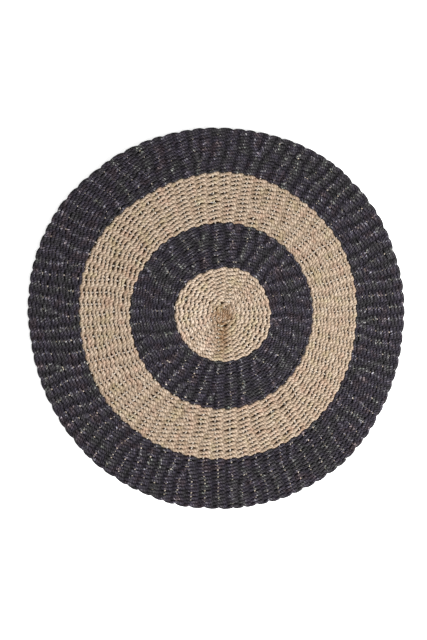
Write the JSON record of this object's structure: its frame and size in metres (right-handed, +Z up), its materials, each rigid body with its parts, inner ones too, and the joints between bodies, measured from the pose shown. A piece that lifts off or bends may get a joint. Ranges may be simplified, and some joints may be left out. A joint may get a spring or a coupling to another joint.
{
  "type": "round seagrass mat",
  "caption": "Round flat mat twined from natural and black seagrass cords, with radial ribs, concentric rings and a notched rim.",
  "frame": {"origin": "on the floor under the middle of the outline's box", "axes": "+Z up out of the mat's face; +Y towards the top of the picture, +X to its right"},
  "size_m": [0.9872, 0.9998, 0.014],
  "materials": {
    "black_seagrass": "matte dyed grass cord",
    "natural_seagrass": "matte undyed grass cord"
  },
  "bodies": {
    "root": {"mat": "black_seagrass"}
  },
  "joints": []
}
